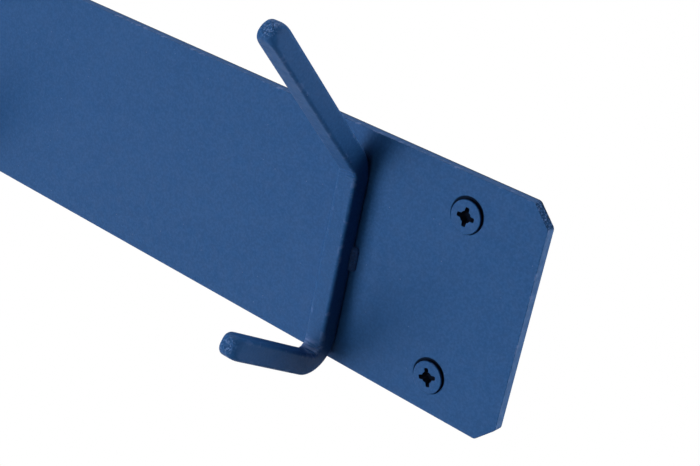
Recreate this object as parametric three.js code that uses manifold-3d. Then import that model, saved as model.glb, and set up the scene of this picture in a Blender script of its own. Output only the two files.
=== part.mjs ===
// Wall-mounted hook rail: a flat steel plate with cut-off corners, double hooks bent from
// square bar and stitch-welded to its face, and a cross-recess screw near each corner.
//
// Millimetres. +X runs along the rail, +Z is up and -Y points out of the wall.
// The origin is the centre of the plate's back face, so the wall surface is the plane Y = 0.

import * as THREE from 'three';
import { mergeVertices } from 'three/addons/utils/BufferGeometryUtils.js';
import Module from 'manifold-3d';

const wasm = await Module();
wasm.setup();

// ---- Driving dimensions -------------------------------------------------------------------

// Plate: 4 in wide, 3/16 in thick, 36 in long, with 45 degree corners.
const PLATE_LENGTH = 914.4;
const PLATE_HEIGHT = 101.6;
const PLATE_THICKNESS = 4.76;
const CORNER_CUT = 7.9;

// Hooks: 3/8 in square bar with rounded edges.
const HOOK_COUNT = 4;
const HOOK_PITCH = 247.2;
const BAR = 9.525;
const BAR_EDGE_RADIUS = 1.6;

// Upper prong: leans out from the vertical shank, and starts at this height.
const UPPER_LEAN = THREE.MathUtils.degToRad(47);
const UPPER_BEND_Z = 34.1;
const UPPER_LENGTH = 90;
const UPPER_INNER_RADIUS = 4;
const UPPER_OUTER_RADIUS = 22;

// Lower prong: rises a little as it comes out.
const LOWER_RISE = THREE.MathUtils.degToRad(24.1);
const LOWER_BEND_Z = -47.1;
const LOWER_LENGTH = 57.6;
const LOWER_INNER_RADIUS = 3;
const LOWER_OUTER_RADIUS = 14;

// Both prongs end in a blunt ground dome. The fullness is the power of its superellipse, where
// 2 would be an ellipse and a larger number is blunter.
const DOME_LENGTH = 6.4;
const DOME_FULLNESS = 4.5;
const DOME_LAST_ANGLE = THREE.MathUtils.degToRad(84);

// One stitch of weld on each side of each shank.
const WELD_LEG = 2.7;
const WELD_LENGTH = 11;
const WELD_Z = -3.8;

// Flat-headed wood screws, about 1 1/2 in long, in countersunk holes.
const SCREW_END_DISTANCE = 34.5;
const UPPER_HOLE_Z = 34.8;
const LOWER_HOLE_Z = -35.4;
const COUNTERSINK_RADIUS = 7.7;
const HOLE_RADIUS = 3.35;
const HEAD_RADIUS = 6.8;
const HEAD_PROUD = 1;
const HEAD_EDGE_RADIUS = 0.35;
const HEAD_DROP = 0.55;
const SEAT_GAP = 0.03;
const SHANK_RADIUS = 2.7;
const THREAD_ROOT_RADIUS = 2;
const THREAD_PITCH = 2.8;
const THREAD_TURNS = 9;
const SCREW_POINT_Y = 32.3;

// Cross recess: four nearly parallel wings on a wide core, all narrowing downwards. A wing's
// shoulder is where its side leaves the core, as a share of the way from the core to the tip.
const RECESS_SPAN = 7.9;
const RECESS_TIP_WIDTH = 1.75;
const RECESS_CORE_WIDTH = 3.5;
const RECESS_SHOULDER = 0.22;
const RECESS_FLOOR_SPAN = 3.8;
const RECESS_FLOOR_TIP_WIDTH = 1.1;
const RECESS_FLOOR_CORE_WIDTH = 2.2;
const RECESS_DEPTH = 2.8;

// How far each screw's cross recess has been left turned, looking at the rail.
const RECESS_TURNS = { left_upper: 38, left_lower: 12, right_upper: 1, right_lower: -20 };

const HEAD_SIDES = 36;
const THREAD_SIDES = 12;
const EDGE_STEPS = 3;
const BEND_STEPS = 7;
const DOME_STEPS = 5;

const FRONT_Y = -PLATE_THICKNESS;

// ---- Materials ------------------------------------------------------------------------------

const paint = (name) => new THREE.MeshStandardMaterial({
  name, color: 0x325482, roughness: 0.55, metalness: 0.1,
});

// ---- Solids and booleans --------------------------------------------------------------------

function toSolid(geometry) {
  const bare = geometry.clone();
  bare.deleteAttribute('normal');
  bare.deleteAttribute('uv');
  const merged = mergeVertices(bare, 1e-4);
  return new wasm.Manifold(new wasm.Mesh({
    numProp: 3,
    vertProperties: new Float32Array(merged.attributes.position.array),
    triVerts: new Uint32Array(merged.index.array),
  }));
}

function toGeometry(solid) {
  const mesh = solid.getMesh();
  const geometry = new THREE.BufferGeometry();
  geometry.setAttribute('position', new THREE.BufferAttribute(mesh.vertProperties, 3));
  geometry.setIndex(new THREE.BufferAttribute(mesh.triVerts, 1));
  geometry.computeVertexNormals();
  return geometry;
}

// Joins rings of points, each a closed loop of the same length, and caps both ends.
function skinRings(rings) {
  const size = rings[0].length;
  const positions = rings.flat().flatMap((point) => [point.x, point.y, point.z]);
  const triangles = [];
  for (let ring = 0; ring < rings.length - 1; ring += 1) {
    for (let side = 0; side < size; side += 1) {
      const a = ring * size + side;
      const b = ring * size + (side + 1) % size;
      triangles.push(a, b, a + size, b, b + size, a + size);
    }
  }
  const last = (rings.length - 1) * size;
  for (let side = 1; side < size - 1; side += 1) {
    triangles.push(0, side + 1, side);
    triangles.push(last, last + side, last + side + 1);
  }
  const geometry = new THREE.BufferGeometry();
  geometry.setAttribute('position', new THREE.Float32BufferAttribute(positions, 3));
  geometry.setIndex(triangles);
  geometry.computeVertexNormals();
  return geometry;
}

// A solid of revolution about Y; profile points are (radius, y), from the front end to the back.
function turned(profile, sides) {
  return new THREE.LatheGeometry(profile, sides);
}

// ---- Screws ---------------------------------------------------------------------------------

// The head's cone is as steep as the countersink. The screw sits low in its hole, so the cone
// clears the countersink everywhere but at the bottom.
function screwBlank() {
  const top = FRONT_Y - HEAD_PROUD;
  const seatY = FRONT_Y + COUNTERSINK_RADIUS - HEAD_RADIUS - HEAD_DROP - SEAT_GAP;
  const neckY = seatY + HEAD_RADIUS - SHANK_RADIUS;
  const head = turned([
    new THREE.Vector2(0, top),
    new THREE.Vector2(HEAD_RADIUS - HEAD_EDGE_RADIUS, top),
    new THREE.Vector2(HEAD_RADIUS, top + HEAD_EDGE_RADIUS),
    new THREE.Vector2(HEAD_RADIUS, seatY),
    new THREE.Vector2(SHANK_RADIUS, neckY),
    new THREE.Vector2(SHANK_RADIUS, neckY + 1),
    new THREE.Vector2(0, neckY + 1),
  ], HEAD_SIDES);

  const profile = [new THREE.Vector2(0, neckY), new THREE.Vector2(THREAD_ROOT_RADIUS, neckY)];
  const pointLength = SHANK_RADIUS * 2;
  const threadStart = SCREW_POINT_Y - pointLength - THREAD_TURNS * THREAD_PITCH;
  for (let turn = 0; turn <= THREAD_TURNS; turn += 1) {
    const y = threadStart + turn * THREAD_PITCH;
    profile.push(new THREE.Vector2(THREAD_ROOT_RADIUS, y - THREAD_PITCH * 0.3));
    profile.push(new THREE.Vector2(SHANK_RADIUS, y));
    profile.push(new THREE.Vector2(THREAD_ROOT_RADIUS, y + THREAD_PITCH * 0.3));
  }
  profile.push(new THREE.Vector2(0, SCREW_POINT_Y));
  return toSolid(head).add(toSolid(turned(profile, THREAD_SIDES)));
}

// One wing of the cross recess, reaching from the head's middle to +X and cut down from its top.
function recessWing() {
  const top = FRONT_Y - HEAD_PROUD;
  const wingRing = (y, span, tipWidth, coreWidth) => {
    const shoulder = (coreWidth + (span - coreWidth) * RECESS_SHOULDER) / 2;
    const shoulderWidth = tipWidth * 1.1;
    return [
      new THREE.Vector3(-coreWidth / 4, y, 0),
      new THREE.Vector3(coreWidth / 2, y, -coreWidth / 2),
      new THREE.Vector3(shoulder, y, -shoulderWidth / 2),
      new THREE.Vector3(span / 2, y, -tipWidth / 2),
      new THREE.Vector3(span / 2, y, tipWidth / 2),
      new THREE.Vector3(shoulder, y, shoulderWidth / 2),
      new THREE.Vector3(coreWidth / 2, y, coreWidth / 2),
    ];
  };
  return skinRings([
    wingRing(top + RECESS_DEPTH, RECESS_FLOOR_SPAN, RECESS_FLOOR_TIP_WIDTH, RECESS_FLOOR_CORE_WIDTH),
    wingRing(top, RECESS_SPAN, RECESS_TIP_WIDTH, RECESS_CORE_WIDTH),
    wingRing(top - 1, RECESS_SPAN, RECESS_TIP_WIDTH, RECESS_CORE_WIDTH),
  ]);
}

function screwGeometry(turnDegrees) {
  let screw = screwBlank();
  for (let wing = 0; wing < 4; wing += 1) {
    const turn = THREE.MathUtils.degToRad(turnDegrees + 90 * wing);
    screw = screw.subtract(toSolid(recessWing().rotateY(turn)));
  }
  return toGeometry(screw);
}

// ---- Plate ----------------------------------------------------------------------------------

function plateBlank() {
  const halfLength = PLATE_LENGTH / 2;
  const halfHeight = PLATE_HEIGHT / 2;
  const shape = new THREE.Shape();
  shape.moveTo(-halfLength + CORNER_CUT, -halfHeight);
  shape.lineTo(halfLength - CORNER_CUT, -halfHeight);
  shape.lineTo(halfLength, -halfHeight + CORNER_CUT);
  shape.lineTo(halfLength, halfHeight - CORNER_CUT);
  shape.lineTo(halfLength - CORNER_CUT, halfHeight);
  shape.lineTo(-halfLength + CORNER_CUT, halfHeight);
  shape.lineTo(-halfLength, halfHeight - CORNER_CUT);
  shape.lineTo(-halfLength, -halfHeight + CORNER_CUT);
  const blank = new THREE.ExtrudeGeometry(shape, { depth: PLATE_THICKNESS, bevelEnabled: false });
  return blank.rotateX(Math.PI / 2);
}

// A 45 degree cone whose mouth is on the plate's front face, and the clearance hole behind it;
// the tool runs past both faces.
function countersink() {
  return turned([
    new THREE.Vector2(0, FRONT_Y - 1),
    new THREE.Vector2(COUNTERSINK_RADIUS + 1, FRONT_Y - 1),
    new THREE.Vector2(HOLE_RADIUS, FRONT_Y + COUNTERSINK_RADIUS - HOLE_RADIUS),
    new THREE.Vector2(HOLE_RADIUS, 1),
    new THREE.Vector2(0, 1),
  ], HEAD_SIDES);
}

function holePlaces() {
  const x = PLATE_LENGTH / 2 - SCREW_END_DISTANCE;
  return [
    { name: 'left_upper', x: -x, z: UPPER_HOLE_Z },
    { name: 'left_lower', x: -x, z: LOWER_HOLE_Z },
    { name: 'right_upper', x, z: UPPER_HOLE_Z },
    { name: 'right_lower', x, z: LOWER_HOLE_Z },
  ];
}

function plateGeometry() {
  let plate = toSolid(plateBlank());
  for (const hole of holePlaces()) {
    plate = plate.subtract(toSolid(countersink().translate(hole.x, 0, hole.z)));
  }
  return toGeometry(plate);
}

// ---- Hooks ----------------------------------------------------------------------------------
// A hook lies in a vertical plane. Its outline is worked out as (out, up): the distance out of
// the plate's front face and the height.

const outAndUp = (out, up) => new THREE.Vector2(out, up);

// Points along the arc that rounds a corner between two directions pointing away from it.
function cornerArc(corner, towardsFirst, towardsLast, radius) {
  const half = Math.acos(towardsFirst.dot(towardsLast)) / 2;
  const bisector = towardsFirst.clone().add(towardsLast).normalize();
  const centre = corner.clone().addScaledVector(bisector, radius / Math.sin(half));
  const first = corner.clone().addScaledVector(towardsFirst, radius / Math.tan(half)).sub(centre);
  const last = corner.clone().addScaledVector(towardsLast, radius / Math.tan(half)).sub(centre);
  const sweep = Math.atan2(first.cross(last), first.dot(last));
  const points = [];
  for (let step = 0; step <= BEND_STEPS; step += 1) {
    const spoke = first.clone().rotateAround(new THREE.Vector2(), sweep * step / BEND_STEPS);
    points.push(spoke.add(centre));
  }
  return points;
}

// A station is one cross-section of the bar, given by its point on the inner line of the bends
// and its point on the outer line.
function bendStations(innerCorner, outerCorner, towardsFirst, towardsLast, innerRadius, outerRadius) {
  const inner = cornerArc(innerCorner, towardsFirst, towardsLast, innerRadius);
  const outer = cornerArc(outerCorner, towardsFirst, towardsLast, outerRadius);
  return inner.map((point, index) => ({ inner: point, outer: outer[index] }));
}

// Stations of a prong's domed end, from the full bar to the tip. The bar's square section turns
// round on the way.
function domeStations(innerCorner, direction, toOuter, length) {
  const stations = [];
  for (let step = 0; step <= DOME_STEPS; step += 1) {
    const angle = DOME_LAST_ANGLE * step / DOME_STEPS;
    const advance = Math.sin(angle) ** (2 / DOME_FULLNESS);
    const half = BAR / 2 * Math.cos(angle) ** (2 / DOME_FULLNESS);
    const roundness = Math.min(1, 1.3 * angle / DOME_LAST_ANGLE);
    const centre = innerCorner.clone()
      .addScaledVector(direction, length - DOME_LENGTH * (1 - advance))
      .addScaledVector(toOuter, BAR / 2);
    stations.push({
      inner: centre.clone().addScaledVector(toOuter, -half),
      outer: centre.clone().addScaledVector(toOuter, half),
      halfWidth: half,
      edgeRadius: THREE.MathUtils.lerp(BAR_EDGE_RADIUS, half * 0.98, roundness),
    });
  }
  return stations;
}

// The closed loop of points round one station: a square with rounded corners.
function stationRing({ inner, outer, halfWidth = BAR / 2, edgeRadius = BAR_EDGE_RADIUS }) {
  const middle = inner.clone().add(outer).multiplyScalar(0.5);
  const across = outer.clone().sub(inner);
  const halfDepth = across.length() / 2;
  const unit = across.normalize();
  const skew = Math.max(1, halfDepth / halfWidth);
  const quadrants = [[1, 1], [-1, 1], [-1, -1], [1, -1]];
  const ring = [];
  quadrants.forEach(([signX, signDepth], quadrant) => {
    for (let step = 0; step <= EDGE_STEPS; step += 1) {
      const angle = (quadrant + step / EDGE_STEPS) * Math.PI / 2;
      const x = signX * (halfWidth - edgeRadius) + edgeRadius * Math.cos(angle);
      const depth = signDepth * (halfDepth - edgeRadius * skew) + edgeRadius * skew * Math.sin(angle);
      const point = middle.clone().addScaledVector(unit, depth);
      ring.push(new THREE.Vector3(x, FRONT_Y - point.x, point.y));
    }
  });
  return ring;
}

function hookGeometry() {
  const up = outAndUp(0, 1);
  const down = outAndUp(0, -1);
  const upperWay = outAndUp(Math.sin(UPPER_LEAN), Math.cos(UPPER_LEAN));
  const lowerWay = outAndUp(Math.cos(LOWER_RISE), Math.sin(LOWER_RISE));
  const upperToOuter = outAndUp(-Math.cos(UPPER_LEAN), Math.sin(UPPER_LEAN));
  const lowerToOuter = outAndUp(Math.sin(LOWER_RISE), -Math.cos(LOWER_RISE));

  const upperInner = outAndUp(BAR, UPPER_BEND_Z);
  const upperOuter = outAndUp(0, UPPER_BEND_Z + BAR * Math.tan(UPPER_LEAN / 2));
  const lowerInner = outAndUp(BAR, LOWER_BEND_Z);
  const lowerHalfTurn = (Math.PI / 2 + LOWER_RISE) / 2;
  const lowerOuter = outAndUp(0, LOWER_BEND_Z - BAR * Math.tan(lowerHalfTurn));

  const stations = [
    ...domeStations(lowerInner, lowerWay, lowerToOuter, LOWER_LENGTH).reverse(),
    ...bendStations(lowerInner, lowerOuter, lowerWay, up, LOWER_INNER_RADIUS, LOWER_OUTER_RADIUS),
    ...bendStations(upperInner, upperOuter, down, upperWay, UPPER_INNER_RADIUS, UPPER_OUTER_RADIUS),
    ...domeStations(upperInner, upperWay, upperToOuter, UPPER_LENGTH),
  ];
  return skinRings(stations.map(stationRing));
}

// ---- Weld beads -----------------------------------------------------------------------------

// A fillet bead in the corner between the plate and the shank's right side. Its root fills the
// space under the bar's rounded edge, and it dies away at both ends.
function weldGeometry() {
  const section = [outAndUp(WELD_LEG, 0)];
  const middle = outAndUp(WELD_LEG * 0.62, WELD_LEG * 0.62);
  section.push(outAndUp(WELD_LEG * 0.9, WELD_LEG * 0.32), middle);
  section.push(outAndUp(WELD_LEG * 0.32, WELD_LEG * 0.9));
  section.push(outAndUp(SEAT_GAP, WELD_LEG));
  const rootRadius = BAR_EDGE_RADIUS + SEAT_GAP;
  for (const degrees of [0, -25, -50]) {
    const angle = THREE.MathUtils.degToRad(degrees);
    section.push(outAndUp(
      rootRadius * Math.cos(angle) - BAR_EDGE_RADIUS,
      BAR_EDGE_RADIUS + rootRadius * Math.sin(angle),
    ));
  }
  section.push(outAndUp(-WELD_LEG * 0.1, 0));

  const rings = [];
  for (const [along, scale] of [[0, 0.3], [0.08, 0.75], [0.22, 1], [0.78, 1], [0.92, 0.75], [1, 0.3]]) {
    const z = (0.5 - along) * WELD_LENGTH;
    rings.push(section.map((point) => new THREE.Vector3(
      BAR / 2 + point.x * scale, FRONT_Y - point.y * scale, z,
    )));
  }
  return skinRings(rings);
}

// ---- Assembly -------------------------------------------------------------------------------

const rail = new THREE.Group();

function addMesh(name, geometry, material, position) {
  const mesh = new THREE.Mesh(geometry, material);
  mesh.name = name;
  mesh.position.copy(position);
  rail.add(mesh);
}

addMesh('wall_plate', plateGeometry(), paint('plate_paint'), new THREE.Vector3());

for (let index = 0; index < HOOK_COUNT; index += 1) {
  const number = index + 1;
  const x = (index - (HOOK_COUNT - 1) / 2) * HOOK_PITCH;
  addMesh(`hook_${number}`, hookGeometry(), paint('hook_paint'), new THREE.Vector3(x, 0, 0));

  const place = new THREE.Vector3(x, 0, WELD_Z);
  const right = weldGeometry();
  const left = weldGeometry().rotateY(Math.PI);
  addMesh(`hook_${number}_weld_right`, right, paint('weld_paint'), place);
  addMesh(`hook_${number}_weld_left`, left, paint('weld_paint'), place);
}

for (const hole of holePlaces()) {
  const screw = screwGeometry(RECESS_TURNS[hole.name]);
  const position = new THREE.Vector3(hole.x, 0, hole.z - HEAD_DROP);
  addMesh(`screw_${hole.name}`, screw, paint('screw_paint'), position);
}

export default rail;
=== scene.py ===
"""Wall hook rail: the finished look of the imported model.

The frame's axes: +X runs along the rail, +Z is up and -Y points out of the wall, so the plate's
back face is the plane Y = 0. Everything is in metres.
"""

import math
import random

import bmesh
import bpy
from mathutils import Matrix, Vector, noise
from mathutils.geometry import tessellate_polygon


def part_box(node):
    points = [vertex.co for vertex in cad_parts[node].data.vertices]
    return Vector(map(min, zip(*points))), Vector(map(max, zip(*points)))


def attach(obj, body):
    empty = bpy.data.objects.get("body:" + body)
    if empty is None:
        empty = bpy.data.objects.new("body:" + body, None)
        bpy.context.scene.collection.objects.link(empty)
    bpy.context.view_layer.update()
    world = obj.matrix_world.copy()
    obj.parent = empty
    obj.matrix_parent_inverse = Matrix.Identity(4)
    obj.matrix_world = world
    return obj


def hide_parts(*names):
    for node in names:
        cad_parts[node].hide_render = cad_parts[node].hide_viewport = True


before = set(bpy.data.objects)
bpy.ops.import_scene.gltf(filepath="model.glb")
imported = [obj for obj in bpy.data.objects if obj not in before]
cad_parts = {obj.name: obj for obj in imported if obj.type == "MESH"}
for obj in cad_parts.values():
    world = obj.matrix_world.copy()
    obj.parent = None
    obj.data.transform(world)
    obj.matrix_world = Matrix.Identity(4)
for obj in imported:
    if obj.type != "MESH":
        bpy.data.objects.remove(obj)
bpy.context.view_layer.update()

MM = 0.001

# ---- Sizes taken from the frame -------------------------------------------------------------

PLATE_LOW, PLATE_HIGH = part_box("wall_plate")
FRONT_Y = PLATE_LOW.y
PLATE_THICKNESS = PLATE_HIGH.y - PLATE_LOW.y
PLATE_HEIGHT = PLATE_HIGH.z - PLATE_LOW.z
HOOK_NUMBERS = (1, 2, 3, 4)
SCREW_CORNERS = ("left_upper", "left_lower", "right_upper", "right_lower")
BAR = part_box("hook_1")[1].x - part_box("hook_1")[0].x

# ---- Driving sizes, as in the CAD model -------------------------------------------------------

CORNER_CUT = 7.9 * MM
PLATE_EDGE_RADIUS = 0.2 * MM
CORNER_ROUND = 2.2 * MM

BAR_EDGE_RADIUS = 1.6 * MM
UPPER_LEAN = math.radians(47)
UPPER_BEND_Z = 34.1 * MM
UPPER_LENGTH = 90 * MM
UPPER_INNER_RADIUS = 4 * MM
UPPER_OUTER_RADIUS = 22 * MM
LOWER_RISE = math.radians(24.1)
LOWER_BEND_Z = -47.1 * MM
LOWER_LENGTH = 57.6 * MM
LOWER_INNER_RADIUS = 3 * MM
LOWER_OUTER_RADIUS = 14 * MM
DOME_LENGTH = 6.4 * MM
DOME_FULLNESS = 4.5

WELD_LEG = 2.7 * MM

COUNTERSINK_RADIUS = 7.7 * MM
HOLE_RADIUS = 3.35 * MM
HEAD_RADIUS = 6.8 * MM
HEAD_PROUD = 1 * MM
HEAD_EDGE_RADIUS = 0.35 * MM
HEAD_DROP = 0.55 * MM
SEAT_GAP = 0.03 * MM
SHANK_RADIUS = 2.7 * MM
NECK_LENGTH = 4 * MM
THREAD_ROOT_RADIUS = 2 * MM
THREAD_PITCH = 2.8 * MM
RECESS_SHOULDER = 0.22
RECESS_TURNS = {"left_upper": 38, "left_lower": 12, "right_upper": 1, "right_lower": -20}

# ---- Sizes of the visual model alone ----------------------------------------------------------

# The clearance hole is closer round the shank than in CAD, so that no light comes through it.
SHANK_HOLE_RADIUS = 2.8 * MM

# The cross recess with the rolled edge of its mouth, level by level:
# (depth, span, width at the wing tips, width of the core, wear and painted highlight, painted
# shade).
RECESS_LEVELS = (
    (0.0, 8.1 * MM, 1.9 * MM, 3.65 * MM, 0.3, 0.0),
    (0.04 * MM, 7.96 * MM, 1.78 * MM, 3.53 * MM, 1.0, 0.1),
    (0.14 * MM, 7.9 * MM, 1.72 * MM, 3.46 * MM, 0.9, 1.0),
    (2.6 * MM, 4.4 * MM, 1.15 * MM, 2.4 * MM, 0.0, 1.0),
    (2.8 * MM, 3.8 * MM, 1.0 * MM, 2.0 * MM, 0.0, 1.0),
)

ARC_STEPS = 4
CIRCLE_SIDES = 72
# Triangles on a line are left out: twice the area, in square metres, that a real one has at least.
SMALLEST_AREA = 1e-14


# ---- Mesh helpers ---------------------------------------------------------------------------

def make_piece(name, points, faces):
    """A smooth mesh object of the scene, whose faces are turned outwards."""
    mesh = bpy.data.meshes.new(name)
    mesh.from_pydata([tuple(point) for point in points], [], faces)
    mesh.validate()
    shell = bmesh.new()
    shell.from_mesh(mesh)
    bmesh.ops.recalc_face_normals(shell, faces=shell.faces)
    shell.to_mesh(mesh)
    shell.free()
    mesh.shade_smooth()
    piece = bpy.data.objects.new(name, mesh)
    bpy.context.scene.collection.objects.link(piece)
    return piece


def weighted_normals(piece):
    """Large flat faces keep their own direction, so that narrow rounded strips shade as rounded."""
    modifier = piece.modifiers.new("weighted_normals", "WEIGHTED_NORMAL")
    modifier.weight = 100
    modifier.keep_sharp = True


def set_attributes(piece, **lists):
    """Lists of one number per vertex, which the materials read by name."""
    for name, values in lists.items():
        attribute = piece.data.attributes.new(name, "FLOAT", "POINT")
        attribute.data.foreach_set("value", values)


def clamp(value):
    return max(0.0, min(1.0, value))


def strip(first, second):
    """Quads between two closed loops of vertex numbers of the same length."""
    count = len(first)
    return [
        (first[i], first[(i + 1) % count], second[(i + 1) % count], second[i])
        for i in range(count)
    ]


def strips(loops):
    """Quads between each loop and the next."""
    return [face for first, second in zip(loops, loops[1:]) for face in strip(first, second)]


def tube(loops):
    """Quads between each loop and the next, and one face over each end."""
    return strips(loops) + [tuple(reversed(loops[0])), tuple(loops[-1])]


def fill_flat(points, outer, holes):
    """Triangles over a flat upright face, between an outer loop and the loops of its holes."""
    loops = [outer] + holes
    numbers = [number for loop in loops for number in loop]
    flat = [[Vector((points[n].x, points[n].z, 0)) for n in loop] for loop in loops]
    faces = []
    for triangle in tessellate_polygon(flat):
        a, b, c = (numbers[n] for n in triangle)
        area = (points[b] - points[a]).cross(points[c] - points[a]).y
        if abs(area) >= SMALLEST_AREA:
            faces.append((a, b, c))
    return faces


def circle(radius, count):
    """Points round a circle, as (across, up) pairs."""
    return [
        Vector((radius * math.cos(math.tau * i / count), radius * math.sin(math.tau * i / count)))
        for i in range(count)
    ]


def corner_arc(corner, towards_first, towards_last, radius, steps):
    """Points along the arc that rounds a corner between two directions pointing away from it."""
    half = towards_first.angle(towards_last) / 2
    bisector = (towards_first + towards_last).normalized()
    centre = corner + bisector * (radius / math.sin(half))
    first = corner + towards_first * (radius / math.tan(half)) - centre
    last = corner + towards_last * (radius / math.tan(half)) - centre
    sweep = math.atan2(first.x * last.y - first.y * last.x, first.dot(last))
    return [
        centre + Matrix.Rotation(sweep * step / steps, 2) @ first
        for step in range(steps + 1)
    ]


def rounded_outline(corners):
    """A closed outline through corners given as (place, radius of the arc that rounds it)."""
    outline = []
    for index, (corner, radius) in enumerate(corners):
        before = (corners[index - 1][0] - corner).normalized()
        after = (corners[(index + 1) % len(corners)][0] - corner).normalized()
        outline += corner_arc(corner, before, after, radius, ARC_STEPS)
    return outline


def inset(outline, distance):
    """The outline moved inwards by a distance; it runs anticlockwise."""
    moved = []
    for index, point in enumerate(outline):
        along = (outline[(index + 1) % len(outline)] - outline[index - 1]).normalized()
        moved.append(point + Vector((-along.y, along.x)) * distance)
    return moved


def edge_profile(radius):
    """(inwards, down, share) round a quarter circle, from a flat face over an edge to a side."""
    profile = []
    for step in range(ARC_STEPS + 1):
        angle = math.pi / 2 * step / ARC_STEPS
        profile.append((radius * (1 - math.sin(angle)), radius * (1 - math.cos(angle)),
                        step / ARC_STEPS))
    return profile


# ---- Plate ----------------------------------------------------------------------------------

# Wear and a painted highlight on the front start at this value along the edge and fade out over the
# rim.
EDGE_WEAR_AND_HIGHLIGHT = 0.5
RIM_WIDTH = 1.2 * MM
# Painted shade darkens the top edge next to the wall, over this width.
WALL_SHADE = 0.8
WALL_LINE = 1.2 * MM
# The roughness, pits and painted shade of a corner's cut face fade over this width past its ends.
CUT_FADE = 0.6 * MM
END_TOLERANCE = 0.05 * MM
# Painted shade covers the cone of a countersink below this depth.
SHADE_DEPTH = 0.4 * MM


def plate_outline():
    """The plate's outline as (across, up) points, anticlockwise as seen from the front."""
    low_x, high_x = PLATE_LOW.x, PLATE_HIGH.x
    low_z, high_z = PLATE_LOW.z, PLATE_HIGH.z
    corners = [
        Vector((low_x + CORNER_CUT, low_z)), Vector((high_x - CORNER_CUT, low_z)),
        Vector((high_x, low_z + CORNER_CUT)), Vector((high_x, high_z - CORNER_CUT)),
        Vector((high_x - CORNER_CUT, high_z)), Vector((low_x + CORNER_CUT, high_z)),
        Vector((low_x, high_z - CORNER_CUT)), Vector((low_x, low_z + CORNER_CUT)),
    ]
    return rounded_outline([(corner, CORNER_ROUND) for corner in corners])


def cut_corner(point):
    """How much a point of the outline belongs to the rough face of a cut-off corner, 0 to 1."""
    reach_x = PLATE_HIGH.x - abs(point.x)
    reach_z = PLATE_HIGH.z - abs(point.y)
    return clamp(1 - (reach_x + reach_z - CORNER_CUT) / CUT_FADE)


def top_edge(point):
    """How much a point of the outline belongs to the plate's top edge, 0 to 1."""
    return clamp(1 - (PLATE_HIGH.z - point.y) / CORNER_CUT)


def short_end(point):
    """Whether a point of the outline belongs to one of the plate's two short ends, 0 or 1."""
    return 1.0 if PLATE_HIGH.x - abs(point.x) < END_TOLERANCE else 0.0


def hole_levels(corner):
    """A screw's hole from its mouth to the plate's back: (middle, radius, depth, wear and painted
    highlight, painted shade).
    """
    low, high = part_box("screw_" + corner)
    centre = Vector(((low.x + high.x) / 2, (low.z + high.z) / 2 + HEAD_DROP))
    shank = centre - Vector((0, HEAD_DROP))
    edge = PLATE_EDGE_RADIUS
    return [
        (centre, COUNTERSINK_RADIUS + edge * 0.5, 0, 0.0, 0.0),
        (centre, COUNTERSINK_RADIUS + edge * 0.2, edge * 0.12, 0.5, 0.0),
        (centre, COUNTERSINK_RADIUS - edge * 0.25, edge * 0.45, 0.3, 0.5),
        (centre, COUNTERSINK_RADIUS - SHADE_DEPTH, SHADE_DEPTH, 0.0, 0.9),
        (shank, SHANK_HOLE_RADIUS, COUNTERSINK_RADIUS - HOLE_RADIUS, 0.0, 1.0),
        (shank, SHANK_HOLE_RADIUS, PLATE_THICKNESS, 0.0, 0.0),
    ]


def make_plate():
    """The plate with rounded edges and four countersunk holes."""
    points, wear, grime, cut, thin = [], [], [], [], []

    def add_loop(loop, y, worn_and_highlit, dark=0.0, on_side=False):
        start = len(points)
        points.extend(Vector((p.x, y, p.y)) for p in loop)
        wear.extend([worn_and_highlit] * len(loop))
        grime.extend(dark * (top_edge(p) if on_side else 1.0) for p in loop)
        cut.extend(cut_corner(p) if on_side else 0.0 for p in loop)
        # A painted highlight on the plate's short ends.
        thin.extend(short_end(p) if on_side else 0.0 for p in loop)
        return list(range(start, len(points)))

    outline = plate_outline()
    profile = edge_profile(PLATE_EDGE_RADIUS)
    rings = [add_loop(inset(outline, RIM_WIDTH), FRONT_Y, 0.0)]
    for inwards, down, share in profile:
        rings.append(add_loop(inset(outline, inwards), FRONT_Y + down, max(EDGE_WEAR_AND_HIGHLIGHT, share),
                              on_side=share > 0))
    rings.append(add_loop(outline, PLATE_HIGH.y - WALL_LINE - PLATE_EDGE_RADIUS, 0.0, on_side=True))
    for inwards, down, share in reversed(profile):
        rings.append(add_loop(inset(outline, inwards), PLATE_HIGH.y - down, 1 - share,
                              WALL_SHADE, on_side=True))
    faces = strips(rings)

    front_holes, back_holes = [], []
    for corner in SCREW_CORNERS:
        loops = [add_loop([middle + p for p in circle(radius, CIRCLE_SIDES)], FRONT_Y + depth,
                          worn_and_highlit, dark)
                 for middle, radius, depth, worn_and_highlit, dark in hole_levels(corner)]
        faces += strips(loops[::-1])
        front_holes.append(loops[0])
        back_holes.append(loops[-1])
    faces += fill_flat(points, rings[0], front_holes)
    faces += fill_flat(points, rings[-1], back_holes)

    plate = make_piece("plate", points, faces)
    set_attributes(plate, wear=wear, grime=grime, cut=cut, thin=thin)
    weighted_normals(plate)
    return plate


# ---- Hooks ----------------------------------------------------------------------------------
# A hook lies in a vertical plane. Its outline is worked out as (out, up): the distance out of
# the plate's front face and the height.

UPPER_WAY = Vector((math.sin(UPPER_LEAN), math.cos(UPPER_LEAN)))
UPPER_TO_OUTER = Vector((-math.cos(UPPER_LEAN), math.sin(UPPER_LEAN)))
LOWER_WAY = Vector((math.cos(LOWER_RISE), math.sin(LOWER_RISE)))
LOWER_TO_OUTER = Vector((math.sin(LOWER_RISE), -math.cos(LOWER_RISE)))

EDGE_STEPS = 6
FLAT_STEPS = 6
BEND_STEPS = 30
BEND_RUN = 5 * MM
BEND_RUN_STEPS = 8

# A dome's outline is a superellipse that stops just short of the tip. Its stations crowd towards
# its start, and its square section turns nearly round before its end.
DOME_STEPS = 20
DOME_LAST_ANGLE = math.radians(84)
DOME_CROWDING = 1.5
DOME_ROUNDING = 1.3
DOME_ROUNDNESS = 0.98
DOME_START = 0.05

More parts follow.
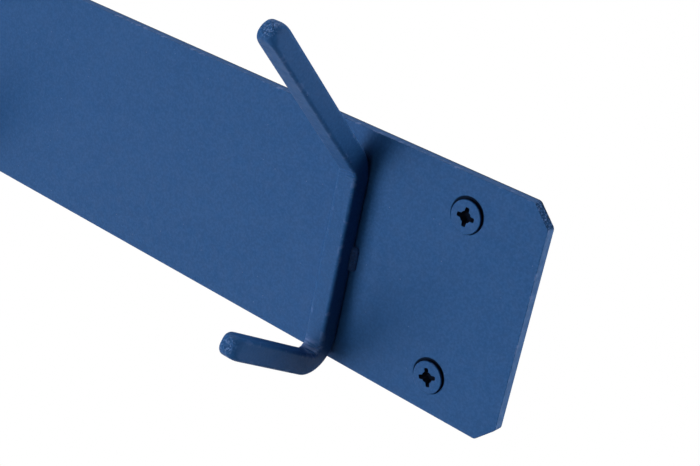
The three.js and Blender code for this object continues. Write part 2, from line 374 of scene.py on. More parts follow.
# Hand grinding: how many flats, their tilt from the prong's way in radians, and their depth.
GRIND_FLATS = 34
GRIND_TILT = (0.1, 1.15)
GRIND_DEPTH_IN_MM = (0.02, 0.09)
GRIND_SEED = 40

# Tight bending wrinkles the inner skin of a bend and whitens its paint. A share of the bar's
# half depth runs from -1, the inner skin, to 1, the outer one. Wrinkles are spaced in mm.
CREASE_DEPTH = {"lower_bend": 0.2 * MM, "upper_bend": 0.26 * MM}
CREASE_LIMIT = -0.35
WRINKLE_SPACING = 1.35
WRINKLE_WOBBLE = 1.6
WRINKLE_SEED = 10
WRINKLE_SEED_STEP = 3.1
STRAIN_OF_BEND = {"lower_bend": 1.0, "upper_bend": 0.08}
STRAIN_LIMIT = -0.5
SKIN_FADE = 2.5
# The bar's rounded corners are paler by this much, partly from wear and partly as a painted
# highlight.
CORNER_WEAR_AND_HIGHLIGHT = 0.45


def station(inner, outer, half_width=BAR / 2, edge_radius=BAR_EDGE_RADIUS, crease=0.0, dome=0.0):
    """One cross-section of the bar, from the inner line of the bends to the outer one."""
    return {"inner": inner, "outer": outer, "half_width": half_width,
            "edge_radius": edge_radius, "crease": crease, "dome": dome}


def bend_stations(inner_corner, outer_corner, first_way, last_way, inner_radius, outer_radius):
    """A bend, with a short straight run before and after it in which the creases fade."""
    inner = corner_arc(inner_corner, first_way, last_way, inner_radius, BEND_STEPS)
    outer = corner_arc(outer_corner, first_way, last_way, outer_radius, BEND_STEPS)
    steps = BEND_RUN_STEPS
    before = [station(inner[0] + first_way * BEND_RUN * (1 - step / steps),
                      outer[0] + first_way * BEND_RUN * (1 - step / steps), crease=step / steps)
              for step in range(steps)]
    turn = [station(i, o, crease=1) for i, o in zip(inner, outer)]
    after = [station(inner[-1] + last_way * BEND_RUN * step / steps,
                     outer[-1] + last_way * BEND_RUN * step / steps, crease=1 - step / steps)
             for step in range(1, steps + 1)]
    return before + turn + after


def dome_stations(inner_corner, way, to_outer, length):
    """The blunt domed end of a prong, from the full bar to the tip; its section turns round."""
    stations = []
    for step in range(DOME_STEPS + 1):
        angle = DOME_LAST_ANGLE * (step / DOME_STEPS) ** DOME_CROWDING
        advance = math.sin(angle) ** (2 / DOME_FULLNESS)
        half = BAR / 2 * math.cos(angle) ** (2 / DOME_FULLNESS)
        roundness = min(1.0, DOME_ROUNDING * angle / DOME_LAST_ANGLE)
        radius = BAR_EDGE_RADIUS * (1 - roundness) + half * DOME_ROUNDNESS * roundness
        centre = inner_corner + way * (length - DOME_LENGTH * (1 - advance)) + to_outer * BAR / 2
        dome = DOME_START + (1 - DOME_START) * (1 - half / (BAR / 2)) ** 0.5
        stations.append(station(centre - to_outer * half, centre + to_outer * half, half,
                                radius, dome=dome))
    return stations


def section_loop(one):
    """Points round one station: (across, place, share of the half depth, 1 on a corner or 0)."""
    middle = (one["inner"] + one["outer"]) / 2
    across = one["outer"] - one["inner"]
    half_depth = across.length / 2
    unit = across.normalized()
    radius = one["edge_radius"]
    skew = max(1.0, half_depth / one["half_width"])
    flat_x = one["half_width"] - radius
    flat_depth = half_depth - radius * skew
    loop = []
    quadrants = [(1, 1), (-1, 1), (-1, -1), (1, -1)]
    for quadrant, (sign_x, sign_depth) in enumerate(quadrants):
        arc = []
        for step in range(EDGE_STEPS + 1):
            angle = (quadrant + step / EDGE_STEPS) * math.pi / 2
            arc.append((sign_x * flat_x + radius * math.cos(angle),
                        sign_depth * flat_depth + radius * skew * math.sin(angle), 1.0))
        loop += arc
        next_x, next_depth = quadrants[(quadrant + 1) % 4]
        end = arc[-1]
        angle = (quadrant + 1) * math.pi / 2
        begin = (next_x * flat_x + radius * math.cos(angle),
                 next_depth * flat_depth + radius * skew * math.sin(angle))
        for step in range(1, FLAT_STEPS):
            share = step / FLAT_STEPS
            loop.append((end[0] + (begin[0] - end[0]) * share,
                         end[1] + (begin[1] - end[1]) * share, 0.0))
    return [(x, middle + unit * depth, depth / half_depth, worn_and_highlit)
            for x, depth, worn_and_highlit in loop]


def crease_push(x, share, crease, place, seed):
    """How far the inner skin of a bend is pushed by its wrinkles, -1 to 1."""
    if crease <= 0 or share > CREASE_LIMIT:
        return 0.0
    across = x / MM
    wobble = WRINKLE_WOBBLE * noise.noise(Vector((across * 0.35, seed, place * 0.2)))
    ripple = math.sin(place * math.tau / WRINKLE_SPACING + wobble)
    patch = 0.5 + 0.5 * noise.noise(Vector((across * 0.5, place * 0.45, seed + 7.3)))
    return ripple * patch * crease * min(1.0, (CREASE_LIMIT - share) * SKIN_FADE)


def grind_dome(part, points, rng):
    """The flats of hand grinding, each a shallow cut across the outermost part of a dome."""
    upper = part == "upper_dome"
    along, to_outer = (UPPER_WAY, UPPER_TO_OUTER) if upper else (LOWER_WAY, LOWER_TO_OUTER)
    way = Vector((0, -along.x, along.y))
    side = Vector((1, 0, 0))
    up = Vector((0, -to_outer.x, to_outer.y))
    for _ in range(GRIND_FLATS):
        turn = rng.uniform(0, math.tau)
        tilt = rng.uniform(*GRIND_TILT)
        depth = rng.uniform(*GRIND_DEPTH_IN_MM) * MM
        slope = side * math.cos(turn) + up * math.sin(turn)
        normal = way * math.cos(tilt) + slope * math.sin(tilt)
        limit = max(point.dot(normal) for point in points) - depth
        for point in points:
            over = point.dot(normal) - limit
            if over > 0:
                point -= normal * over


def hook_parts():
    """The stations of the bar from its lower tip to its upper one: (part, stations) each."""
    up, down = Vector((0, 1)), Vector((0, -1))
    upper_inner = Vector((BAR, UPPER_BEND_Z))
    upper_outer = Vector((0, UPPER_BEND_Z + BAR * math.tan(UPPER_LEAN / 2)))
    lower_inner = Vector((BAR, LOWER_BEND_Z))
    half_turn = (math.pi / 2 + LOWER_RISE) / 2
    lower_outer = Vector((0, LOWER_BEND_Z - BAR * math.tan(half_turn)))
    return [
        ("lower_dome", dome_stations(lower_inner, LOWER_WAY, LOWER_TO_OUTER, LOWER_LENGTH)[::-1]),
        ("lower_bend", bend_stations(lower_inner, lower_outer, LOWER_WAY, up,
                                     LOWER_INNER_RADIUS, LOWER_OUTER_RADIUS)),
        ("upper_bend", bend_stations(upper_inner, upper_outer, down, UPPER_WAY,
                                     UPPER_INNER_RADIUS, UPPER_OUTER_RADIUS)),
        ("upper_dome", dome_stations(upper_inner, UPPER_WAY, UPPER_TO_OUTER, UPPER_LENGTH)),
    ]


def make_hook(number):
    """One double hook: a lower prong, the shank on the plate and an upper prong, in one bar."""
    rng = random.Random(GRIND_SEED + number)
    seed = WRINKLE_SEED + number * WRINKLE_SEED_STEP
    low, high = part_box(f"hook_{number}")
    centre_x = (low.x + high.x) / 2
    points, wear, strain, ground, rings = [], [], [], [], []
    for part, stations in hook_parts():
        place = 0.0
        dome = []
        for index, one in enumerate(stations):
            if index:
                place += (one["inner"] - stations[index - 1]["inner"]).length / MM
            inwards = (one["inner"] - one["outer"]).normalized()
            ring = []
            for x, spot, share, worn_and_highlit in section_loop(one):
                push = crease_push(x, share, one["crease"], place, seed)
                spot = spot + inwards * push * CREASE_DEPTH.get(part, 0)
                point = Vector((centre_x + x, FRONT_Y - spot.x, spot.y))
                if one["dome"] > 0:
                    dome.append(point)
                ring.append(len(points))
                points.append(point)
                wear.append(worn_and_highlit * CORNER_WEAR_AND_HIGHLIGHT * (1 - one["dome"]))
                ground.append(one["dome"])
                strain.append(one["crease"] ** 4 * clamp((STRAIN_LIMIT - share) * SKIN_FADE)
                              * STRAIN_OF_BEND.get(part, 0))
            rings.append(ring)
        if dome:
            grind_dome(part, dome, rng)

    hook = make_piece(f"hook_bar_{number}", points, tube(rings))
    set_attributes(hook, wear=wear, strain=strain, ground=ground)
    weighted_normals(hook)
    return hook


# ---- Weld beads -----------------------------------------------------------------------------

WELD_ROWS = 72
WELD_COLUMNS = 20
# Each end swells up over this share of half the bead, from this share of the full section.
WELD_END_LENGTH = 0.3
WELD_END_SIZE = 0.08
# The section's reach in shares of the leg: at its waist, more at its toes, and for its relief.
WELD_WAIST = 0.80
WELD_TOE = 0.12
RIPPLE_HEIGHT = 0.06
LUMP_HEIGHT = 0.05
RIPPLE_PITCH = 1.25 * MM
RIPPLE_SHARPNESS = 0.6
RIPPLE_LAG = 0.35
RIPPLE_SHIFT = 0.37
# How far the bead's root reaches in under the bar, and how high up its side.
ROOT_DEPTH = 0.9 * MM
ROOT_HEIGHT = 1.5 * MM


def weld_reach(along, share, length, number, sign):
    """The bead's reach from the corner, at a share of its length and of its quarter turn."""
    end = min(1.0, (1 - abs(2 * along - 1)) / WELD_END_LENGTH)
    scale = WELD_END_SIZE + (1 - WELD_END_SIZE) * math.sqrt(1 - (1 - end) ** 2)
    angle = share * math.pi / 2
    lag = RIPPLE_LAG * math.cos(2 * angle - math.pi / 2)
    phase = along * length / RIPPLE_PITCH + lag + number * RIPPLE_SHIFT
    ripple = RIPPLE_HEIGHT * abs(math.sin(math.pi * phase)) ** RIPPLE_SHARPNESS
    lump = LUMP_HEIGHT * noise.noise(Vector((along * 5 + number * 3, share * 2, sign * 4)))
    belly = WELD_WAIST + WELD_TOE * abs(math.cos(2 * angle)) + ripple * math.sin(2 * angle) + lump
    return WELD_LEG * scale * min(belly, 1.0)


def make_weld(number, side):
    """A fillet bead of overlapping ripples in the corner between the shank and the plate."""
    low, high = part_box(f"hook_{number}_weld_{side}")
    hook_low, hook_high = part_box(f"hook_{number}")
    sign = 1 if side == "right" else -1
    corner_x = hook_high.x if sign > 0 else hook_low.x
    length = high.z - low.z
    points, loops = [], []
    for row in range(WELD_ROWS + 1):
        along = row / WELD_ROWS
        z = low.z + along * length
        start = len(points)
        points.append(Vector((corner_x - sign * ROOT_DEPTH, FRONT_Y, z)))
        for column in range(WELD_COLUMNS + 1):
            share = column / WELD_COLUMNS
            angle = share * math.pi / 2
            reach = weld_reach(along, share, length, number, sign)
            points.append(Vector((corner_x + sign * reach * math.cos(angle),
                                  FRONT_Y - reach * math.sin(angle), z)))
        points.append(Vector((corner_x, FRONT_Y - ROOT_HEIGHT, z)))
        loops.append(list(range(start, len(points))))
    return make_piece(f"weld_bead_{number}_{side}", points, tube(loops[::sign]))


# ---- Screws ---------------------------------------------------------------------------------

# The recess: how much wider its wings are at the root, and the radii that round its corners.
WING_FLARE = 1.1
WING_ROOT_RADIUS = 0.15 * MM
CORE_RADIUS = 0.2 * MM
TIP_ROUNDNESS = 0.3

# The head's side begins to darken with painted shade at this share of its height above the plate,
# to this much.
HEAD_SIDE_SHARE = 0.45
HEAD_SIDE_SHADE = 0.3
THREAD_ROWS = 190
THREAD_FADE_IN = 1.2 * THREAD_PITCH
# Half the width of the thread's crest, in pitches.
CREST_HALF_WIDTH = 0.26
POINT_LENGTH = 2.6 * SHANK_RADIUS
POINT_BLUNTNESS = 0.03
POINT_FULLNESS = 0.75
# The paint ends this far in front of the neck.
PAINT_END = 0.5 * MM


def cross_outline(span, tip_width, core_width, turn):
    """A cross of four wings that widen into a core, with rounded corners, anticlockwise."""
    reach, half, core = span / 2, tip_width / 2, core_width / 2
    shoulder = core + (reach - core) * RECESS_SHOULDER
    root = half * WING_FLARE
    wing = (
        (Vector((shoulder, -root)), WING_ROOT_RADIUS),
        (Vector((reach, -half)), tip_width * TIP_ROUNDNESS),
        (Vector((reach, half)), tip_width * TIP_ROUNDNESS),
        (Vector((shoulder, root)), WING_ROOT_RADIUS),
        (Vector((core, core)), CORE_RADIUS),
    )
    corners = []
    for arm in range(4):
        rotate = Matrix.Rotation(math.pi / 2 * arm + turn, 2)
        corners += [(rotate @ place, radius) for place, radius in wing]
    return rounded_outline(corners)


def thread_radius(depth, turn, end):
    """The radius of the threaded shank at a depth behind the neck and an angle round it."""
    fade_in = clamp((depth - NECK_LENGTH) / THREAD_FADE_IN)
    taper = clamp((end - depth) / POINT_LENGTH)
    phase = (depth / THREAD_PITCH - turn / math.tau) % 1.0
    crest = max(0.0, 1 - abs(phase - 0.5) / CREST_HALF_WIDTH)
    body = SHANK_RADIUS * (1 - fade_in) + THREAD_ROOT_RADIUS * fade_in
    crest_height = (SHANK_RADIUS - THREAD_ROOT_RADIUS) * crest * fade_in * min(1.0, taper * 2)
    return (body + crest_height) * max(taper, POINT_BLUNTNESS) ** POINT_FULLNESS


def thread_loop(depth, end):
    loop = []
    for i in range(CIRCLE_SIDES):
        angle = math.tau * i / CIRCLE_SIDES
        way = Vector((math.cos(angle), math.sin(angle)))
        loop.append(way * thread_radius(depth, angle, end))
    return loop


def make_screw(corner, paint, zinc):
    """A flat-headed wood screw with a cross recess, a countersunk seat and a helical thread."""
    low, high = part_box("screw_" + corner)
    centre = Vector(((low.x + high.x) / 2, (low.z + high.z) / 2))
    top = FRONT_Y - HEAD_PROUD
    seat = FRONT_Y + COUNTERSINK_RADIUS - HEAD_RADIUS - HEAD_DROP - SEAT_GAP
    neck = seat + HEAD_RADIUS - SHANK_RADIUS
    tip = high.y
    points, wear, grime = [], [], []

    def add_loop(loop, y, worn_and_highlit=0.0, dark=0.0):
        start = len(points)
        points.extend(Vector((centre.x + p.x, y, centre.y + p.y)) for p in loop)
        wear.extend([worn_and_highlit] * len(loop))
        grime.extend([dark] * len(loop))
        return list(range(start, len(points)))

    body = [add_loop(circle(HEAD_RADIUS - inwards, CIRCLE_SIDES), top + down, share)
            for inwards, down, share in edge_profile(HEAD_EDGE_RADIUS)]
    for radius, y, dark in ((HEAD_RADIUS, FRONT_Y - HEAD_PROUD * HEAD_SIDE_SHARE, HEAD_SIDE_SHADE),
                            (HEAD_RADIUS, seat, 1.0),
                            (SHANK_RADIUS, neck, 1.0)):
        body.append(add_loop(circle(radius, CIRCLE_SIDES), y, dark=dark))
    for row in range(1, THREAD_ROWS + 1):
        y = neck + (tip - neck) * row / THREAD_ROWS
        body.append(add_loop(thread_loop(y - neck, tip - neck), y))

    turn = -math.radians(RECESS_TURNS[corner])
    recess = [add_loop(cross_outline(span, tip_width, core_width, turn), top + depth, worn_and_highlit, dark)
              for depth, span, tip_width, core_width, worn_and_highlit, dark in RECESS_LEVELS]

    faces = strips(body) + [tuple(body[-1])]
    faces += strips(recess[::-1]) + [tuple(recess[-1])]
    faces += fill_flat(points, body[0], [recess[0]])
    screw = make_piece("wood_screw_" + corner, points, faces)
    set_attributes(screw, wear=wear, grime=grime)
    weighted_normals(screw)
    screw.data.materials.append(paint)
    screw.data.materials.append(zinc)
    for face in screw.data.polygons:
        face.material_index = 1 if face.center.y > neck - PAINT_END else 0
    return screw


# ---- Materials ------------------------------------------------------------------------------

class Shader:
    """A material under construction: its nodes, and short ways to add and join them."""

    def __init__(self, name):
        self.material = bpy.data.materials.new(name)
        self.material.use_nodes = True
        self.tree = self.material.node_tree
        self.surface = self.tree.nodes["Principled BSDF"]
        self.place = self.add("ShaderNodeTexCoord").outputs["Object"]

    def add(self, kind, **settings):
        node = self.tree.nodes.new(kind)
        for key, value in settings.items():
            setattr(node, key, value)
        return node

    def join(self, source, target):
        self.tree.links.new(source, target)

    def noise(self, scale, detail=2.0, roughness=0.5, stretch=None):
        """Smooth noise; scale counts features per metre, stretch scales each axis's count."""
        node = self.add("ShaderNodeTexNoise")
        node.inputs["Scale"].default_value = scale
        node.inputs["Detail"].default_value = detail
        node.inputs["Roughness"].default_value = roughness
        place = self.place
        if stretch:
            scaled = self.add("ShaderNodeVectorMath", operation="MULTIPLY")
            self.join(self.place, scaled.inputs[0])
            scaled.inputs[1].default_value = stretch
            place = scaled.outputs["Vector"]
        self.join(place, node.inputs["Vector"])
        return node.outputs["Fac"]

    def ramp(self, value, low, high, out_low=0.0, out_high=1.0):
        """Maps a value from one range to another, clamped."""
        node = self.add("ShaderNodeMapRange")
        node.inputs["From Min"].default_value = low
        node.inputs["From Max"].default_value = high
        node.inputs["To Min"].default_value = out_low
        node.inputs["To Max"].default_value = out_high
        self.join(value, node.inputs["Value"])
        return node.outputs["Result"]

    def maths(self, operation, first, second):
        """A calculation on two values, each a number or a socket."""
        node = self.add("ShaderNodeMath", operation=operation)
        for socket, value in zip(node.inputs, (first, second)):
            if isinstance(value, (int, float)):
                socket.default_value = value
            else:
                self.join(value, socket)
        return node.outputs["Value"]

    def mix(self, factor, first, second):
        """Mixes two colours, each a colour or a socket."""
        node = self.add("ShaderNodeMix", data_type="RGBA")
        self.join(factor, node.inputs["Factor"])
        for socket, value in ((node.inputs[6], first), (node.inputs[7], second)):
            if isinstance(value, tuple):
                socket.default_value = (*value, 1.0)
            else:
                self.join(value, socket)
        return node.outputs[2]

    def times(self, first, second):
        return self.maths("MULTIPLY", first, second)

    def specks(self, spacing, radius, share):
        """Sparse round dots of a radius in metres, in a share of cells a spacing wide."""
        node = self.add("ShaderNodeTexVoronoi")
        node.inputs["Scale"].default_value = 1 / spacing
        self.join(self.place, node.inputs["Vector"])
        soft_edge = 0.6
        near = self.ramp(node.outputs["Distance"], radius / spacing, radius / spacing * soft_edge)
        pick = self.add("ShaderNodeSeparateColor")
        self.join(node.outputs["Color"], pick.inputs["Color"])
        chosen = self.maths("LESS_THAN", pick.outputs["Red"], share)
        return self.times(near, chosen)

    def attribute(self, name):
        """A number that the mesh carries at its points; 0 where the mesh has none of that name."""
        return self.add("ShaderNodeAttribute", attribute_name=name).outputs["Fac"]

    def bump(self, *layers):
        """Bumps stacked on each other, each (height, depth in metres)."""
        normal = None
        for height, depth in layers:
            node = self.add("ShaderNodeBump")
            node.inputs["Distance"].default_value = depth
            self.join(height, node.inputs["Height"])
            if normal is not None:
                self.join(normal, node.inputs["Normal"])
            normal = node.outputs["Normal"]
        self.join(normal, self.surface.inputs["Normal"])

    def set(self, **values):
        """Values that are the same all over the surface."""
        for key, value in values.items():
            self.surface.inputs[key.replace("_", " ")].default_value = value


POWDER_BLUE = (0.0143, 0.0731, 0.2146)
WELD_BLUE = (0.0240, 0.0440, 0.1220)
PALE_POWDER = (0.0300, 0.0920, 0.2400)
DEEP_POWDER = (0.0108, 0.0620, 0.1880)
LIGHT_POWDER = (0.0185, 0.0850, 0.2400)
STRAINED_POWDER = (0.0850, 0.1500, 0.3300)
# The colour of the painted highlight on the plate's short ends.
END_HIGHLIGHT_POWDER = (0.0550, 0.1450, 0.3400)
# Rubbed paint on the domes, partly a painted highlight of their ground facets.
RUBBED_GLINT_POWDER = (0.0950, 0.1850, 0.4000)
# The painted shade of the plate's cut-off corners.
CUT_CORNER_SHADE = (0.0060, 0.0240, 0.0650)
DUST = (0.28, 0.36, 0.50)
# Near-black painted shade for the screw holes, cross recesses, head sides and the top edge by the
# wall.
SHADE_BLACK = (0.0012, 0.0035, 0.0110)
DULL_ZINC = (0.52, 0.53, 0.55)
BRIGHT_ZINC = (0.66, 0.66, 0.64)

PEEL_DEPTH = 0.045 * MM
GRAIN_DEPTH = 0.03 * MM
NIB_DEPTH = 0.03 * MM
GRIND_MARK_DEPTH = 0.8 * MM
PIT_DEPTH = 0.15 * MM
ZINC_GRAIN_DEPTH = 0.004 * MM


def mottled_blue(shader, blue, grain):
    """Faint mottling, the fine grain's dark and light dots, and paler clouds."""
    mottle = shader.ramp(shader.noise(95, 3), 0.3, 0.7, 0.25, 0)
    colour = shader.mix(mottle, blue, DEEP_POWDER)
    colour = shader.mix(shader.ramp(grain, 0.36, 0.5, 0.7, 0), colour, DEEP_POWDER)
    colour = shader.mix(shader.ramp(grain, 0.5, 0.64, 0, 0.7), colour, LIGHT_POWDER)
    cloud = shader.ramp(shader.noise(14, 2), 0.35, 0.75, 0, 0.15)
    return shader.mix(cloud, colour, PALE_POWDER)


def worn_and_highlit_edges(shader, colour):
    """Paint that is paler along the edges, partly from wear and partly as a painted highlight, a
    painted highlight on the plate's short ends, and chipped.
    """
    wear = shader.attribute("wear")
    patches = shader.ramp(shader.noise(240, 3), 0.45, 0.75, 0, 0.6)
    # Paler edges: partly wear, partly a painted highlight.
    colour = shader.mix(shader.times(wear, patches), colour, PALE_POWDER)
    streaks = shader.ramp(shader.noise(300, 3), 0.35, 0.65, 0.3, 0.8)
    # A painted highlight, in streaks, on the plate's short ends.
    colour = shader.mix(shader.times(shader.attribute("thin"), streaks), colour, END_HIGHLIGHT_POWDER)
    spots = shader.ramp(shader.noise(300, 2), 0.58, 0.64, 0, 0.8)
    return shader.mix(shader.times(shader.ramp(wear, 0.3, 0.6), spots), colour, STRAINED_POWDER)


def strained_bends(shader, colour):
    """Paint whitened along the wrinkles of a tight bend."""
    wrinkle = shader.ramp(shader.noise(800, 2, stretch=(0.22, 1, 1)), 0.42, 0.58, 0.1, 1)
    return shader.mix(shader.times(shader.attribute("strain"), wrinkle), colour, STRAINED_POWDER)


def ground_domes(shader, colour, ground):
    """Paint rubbed into bright specks on the outermost part of a dome, partly a painted highlight,
    and a ring of painted shade where the dome begins.
    """
    # Rubbed paint with specks of painted highlight.
    specks = shader.ramp(shader.noise(1050, 2, 0.6), 0.53, 0.6, 0, 0.8)
    rubbed_and_glint = shader.times(specks, shader.ramp(ground, 0.4, 0.75))
    colour = shader.mix(rubbed_and_glint, colour, RUBBED_GLINT_POWDER)
    # A ring of painted shade where the dome begins.
    seam_shade = shader.times(shader.ramp(ground, 0, 0.08), shader.ramp(ground, 0.5, 0.2))
    return shader.mix(shader.times(seam_shade, 0.35), colour, DEEP_POWDER)


def shaded_cut_corners(shader, colour, cut, pits):
    """Painted shade with bright dots on the rough faces of the plate's cut-off corners."""
    dark = shader.ramp(pits, 0, 0.9, 0.9, 0.2)
    colour = shader.mix(shader.times(cut, dark), colour, CUT_CORNER_SHADE)
    bright = shader.ramp(pits, 0.85, 1, 0, 0.7)
    return shader.mix(shader.times(cut, bright), colour, STRAINED_POWDER)


def powder_coat(name, peel=1.0, blue=POWDER_BLUE):
    """Satin blue powder coat, worn and rubbed, with painted highlights and painted shade where the
    mesh's attributes say so.
    """
    shader = Shader(name)
    ground, cut = shader.attribute("ground"), shader.attribute("cut")
    grime = shader.attribute("grime")
    grain = shader.noise(900, 2, 0.6)
    pits = shader.ramp(shader.noise(1100, 3, 0.6), 0.38, 0.6)
    nibs = shader.specks(4.2 * MM, 0.22 * MM, 0.4)

    colour = mottled_blue(shader, blue, grain)
    colour = worn_and_highlit_edges(shader, colour)
    colour = strained_bends(shader, colour)
    colour = ground_domes(shader, colour, ground)
    colour = shader.mix(shader.times(nibs, 0.3), colour, DUST)
    colour = shaded_cut_corners(shader, colour, cut, pits)
    # Painted shade where the mesh's attributes ask for it.
    colour = shader.mix(grime, colour, SHADE_BLACK)
    shader.join(colour, shader.surface.inputs["Base Color"])

    satin = shader.ramp(shader.noise(260, 2), 0.3, 0.7, 0.52, 0.64)
    dull = shader.maths("MAXIMUM", grime, cut)
    shader.join(shader.maths("MAXIMUM", dull, satin), shader.surface.inputs["Roughness"])

    grind_marks = shader.times(shader.noise(850, 1), shader.ramp(ground, 0.3, 0.7))
    shader.bump((shader.noise(620, 2.5, 0.55), PEEL_DEPTH * peel),
                (grain, GRAIN_DEPTH * peel),
                (nibs, NIB_DEPTH),
                (grind_marks, GRIND_MARK_DEPTH),
                (shader.times(pits, cut), PIT_DEPTH))
    shader.set(IOR=1.5, Specular_IOR_Level=0.1)
    return shader.material


def zinc_plate(name):
    """Bright zinc on the screw's shank and thread."""
    shader = Shader(name)
    colour = shader.mix(shader.ramp(shader.noise(300, 4), 0.3, 0.7), DULL_ZINC, BRIGHT_ZINC)
    shader.join(colour, shader.surface.inputs["Base Color"])
    satin = shader.ramp(shader.noise(900, 3), 0.3, 0.7, 0.28, 0.48)
    shader.join(satin, shader.surface.inputs["Roughness"])
    shader.bump((shader.noise(3000, 2), ZINC_GRAIN_DEPTH))
    shader.set(Metallic=1.0)
    return shader.material


# ---- Stage, lights and camera ------------------------------------------------------------------

# The floor's distance below the plate, the backdrop's radius, the height at which its top begins
# to close, and the radius of its curve at the floor.
FLOOR_DROP = 0.55
STAGE_RADIUS = 9.0
STAGE_HEIGHT = 7.0
CURVE_RADIUS = 3.0
CURVE_STEPS = 12
STAGE_SIDES = 64
# The stage's loops on its axis keep this radius, so that their points stay apart.
AXIS_RADIUS = 1e-4

# The strength of the even light from all round, and how far the soft boxes stand off.
SURROUND = 0.035
LIGHT_DISTANCE = 4.0

# The camera that was fitted to the plate's outline, the hook and the screws, in degrees and in
# plate heights. Its target lies on the plate's front, in from the right end.
CAMERA_AZIMUTH = 34.647
CAMERA_ELEVATION = 22.581
CAMERA_ROLL = 11.723
CAMERA_DISTANCE = 5.790844
TARGET_FROM_END = 0.84314
TARGET_ABOVE_MIDDLE = 0.05754
CAMERA_LENS = 74.66
CAMERA_SENSOR = 36

# Soft boxes: name, azimuth and elevation, half width and half height in degrees, radiance.
SOFT_BOXES = (
    ("key_lower_box", -30, -17, 15.7, 17, 6.5),
    ("key_upper_box", -30, 17, 15.7, 17, 2.7),
    ("front_box", 0, 17, 15.7, 17, 2.1),
    ("side_upper_box", 120, 17, 15.7, 17, 6.9),
    ("side_lower_box", 120, -17, 15.7, 17, 1.6),
    ("rear_lower_box", 150, -17, 15.7, 17, 1.4),
    ("rear_upper_box", -135, 50, 35, 16, 3.8),
    ("left_floor_box", -120, -50, 46.7, 15, 1.8),
    ("floor_box", 180, -80, 35, 12, 1.3),
)


def make_stage():
    """A pale floor that curves up into a round backdrop and closes over the top."""
    profile = [(0.0, 0.0)]
    for step in range(CURVE_STEPS + 1):
        angle = math.pi / 2 * step / CURVE_STEPS
        profile.append((STAGE_RADIUS - CURVE_RADIUS * (1 - math.sin(angle)),
                        CURVE_RADIUS * (1 - math.cos(angle))))
    for step in range(1, CURVE_STEPS + 1):
        angle = math.pi / 2 * step / CURVE_STEPS
        profile.append((STAGE_RADIUS * math.cos(angle),
                        STAGE_HEIGHT + CURVE_RADIUS * math.sin(angle)))
    floor_z = PLATE_LOW.z - FLOOR_DROP
    points, loops = [], []
    for radius, height in profile:
        start = len(points)
        points += [Vector((p.x, p.y, floor_z + height))
                   for p in circle(max(radius, AXIS_RADIUS), STAGE_SIDES)]
        loops.append(list(range(start, len(points))))
    stage = make_piece("studio_stage", points, strips(loops))
    stage.data.materials.append(white_stage())
    stage.visible_diffuse = False
    stage.visible_glossy = False
    stage.visible_shadow = False


def white_stage():
    """Evenly white, as the photo's background is cut out."""
    material = bpy.data.materials.new("white_stage")
    material.use_nodes = True
    shader = material.node_tree.nodes["Principled BSDF"]
    shader.inputs["Base Color"].default_value = (0, 0, 0, 1)
    shader.inputs["Specular IOR Level"].default_value = 0
    shader.inputs["Emission Color"].default_value = (1, 1, 1, 1)
    shader.inputs["Emission Strength"].default_value = 1.0
    return material


def direction(azimuth, elevation):
    """A unit vector: azimuth 0 points out of the wall and grows towards +X, in degrees."""
    turn, rise = math.radians(azimuth), math.radians(elevation)
    return Vector((math.sin(turn) * math.cos(rise), -math.cos(turn) * math.cos(rise),
                   math.sin(rise)))


def make_soft_box(name, azimuth, elevation, half_width, half_height, radiance, target):
    """A soft box that faces the target; its half sizes are angles seen from there, in degrees."""
    light = bpy.data.lights.new(name, "AREA")
    light.shape = "RECTANGLE"
    light.size = 2 * LIGHT_DISTANCE * math.tan(math.radians(half_width))
    light.size_y = 2 * LIGHT_DISTANCE * math.tan(math.radians(half_height))
    light.energy = radiance * math.pi * light.size * light.size_y
    holder = bpy.data.objects.new(name, light)
    bpy.context.scene.collection.objects.link(holder)
    way = direction(azimuth, elevation)
    holder.location = target + way * LIGHT_DISTANCE
    holder.rotation_mode = "QUATERNION"
    holder.rotation_quaternion = way.to_track_quat("Z", "Y")
    holder.visible_camera = False


def make_world():
    """Dim even surroundings."""
    world = bpy.data.worlds.new("studio")
    bpy.context.scene.world = world
    world.use_nodes = True
    background = world.node_tree.nodes["Background"]
    background.inputs["Color"].default_value = (1, 1, 1, 1)
    background.inputs["Strength"].default_value = SURROUND


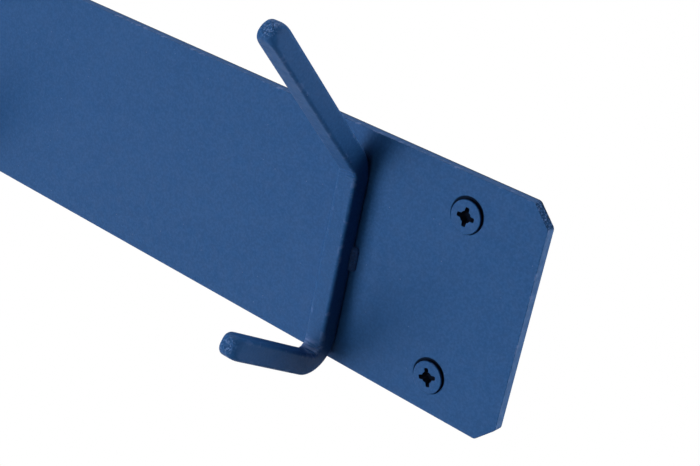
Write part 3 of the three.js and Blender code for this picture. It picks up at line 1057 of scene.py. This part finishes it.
def make_camera():
    """The camera, above the rail and out to its right; returns the point that it looks at."""
    roll = math.radians(CAMERA_ROLL)
    target = Vector((PLATE_HIGH.x - TARGET_FROM_END * PLATE_HEIGHT, FRONT_Y,
                     TARGET_ABOVE_MIDDLE * PLATE_HEIGHT))
    back = direction(CAMERA_AZIMUTH, CAMERA_ELEVATION)
    side = Vector((0, 0, 1)).cross(back).normalized()
    upright = back.cross(side)
    right = side * math.cos(roll) + upright * math.sin(roll)
    up = upright * math.cos(roll) - side * math.sin(roll)
    data = bpy.data.cameras.new("camera")
    data.sensor_width = CAMERA_SENSOR
    data.lens = CAMERA_LENS
    data.clip_start = 0.01
    data.clip_end = 100
    camera = bpy.data.objects.new("camera", data)
    bpy.context.scene.collection.objects.link(camera)
    camera.rotation_mode = "QUATERNION"
    camera.rotation_quaternion = Matrix((right, up, back)).transposed().to_quaternion()
    camera.location = target + back * (CAMERA_DISTANCE * PLATE_HEIGHT)
    bpy.context.scene.camera = camera
    return target


# ---- Build ----------------------------------------------------------------------------------

target = make_camera()
make_world()
make_stage()
for name, azimuth, elevation, half_width, half_height, radiance in SOFT_BOXES:
    make_soft_box(name, azimuth, elevation, half_width, half_height, radiance, target)
bpy.context.scene.view_settings.view_transform = "Standard"

plate = make_plate()
plate.data.materials.append(powder_coat("plate_powder_coat"))
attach(plate, "root")
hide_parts("wall_plate")

hook_paint = powder_coat("hook_powder_coat", peel=0.8)
weld_paint = powder_coat("weld_powder_coat", peel=0.7, blue=WELD_BLUE)
for number in HOOK_NUMBERS:
    hook = make_hook(number)
    hook.data.materials.append(hook_paint)
    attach(hook, "root")
    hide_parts(f"hook_{number}")
    for side in ("right", "left"):
        bead = make_weld(number, side)
        bead.data.materials.append(weld_paint)
        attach(bead, "root")
        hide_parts(f"hook_{number}_weld_{side}")

screw_paint = powder_coat("screw_paint", peel=0.6)
zinc = zinc_plate("zinc_plate")
for corner in SCREW_CORNERS:
    screw = make_screw(corner, screw_paint, zinc)
    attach(screw, "root")
    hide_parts("screw_" + corner)
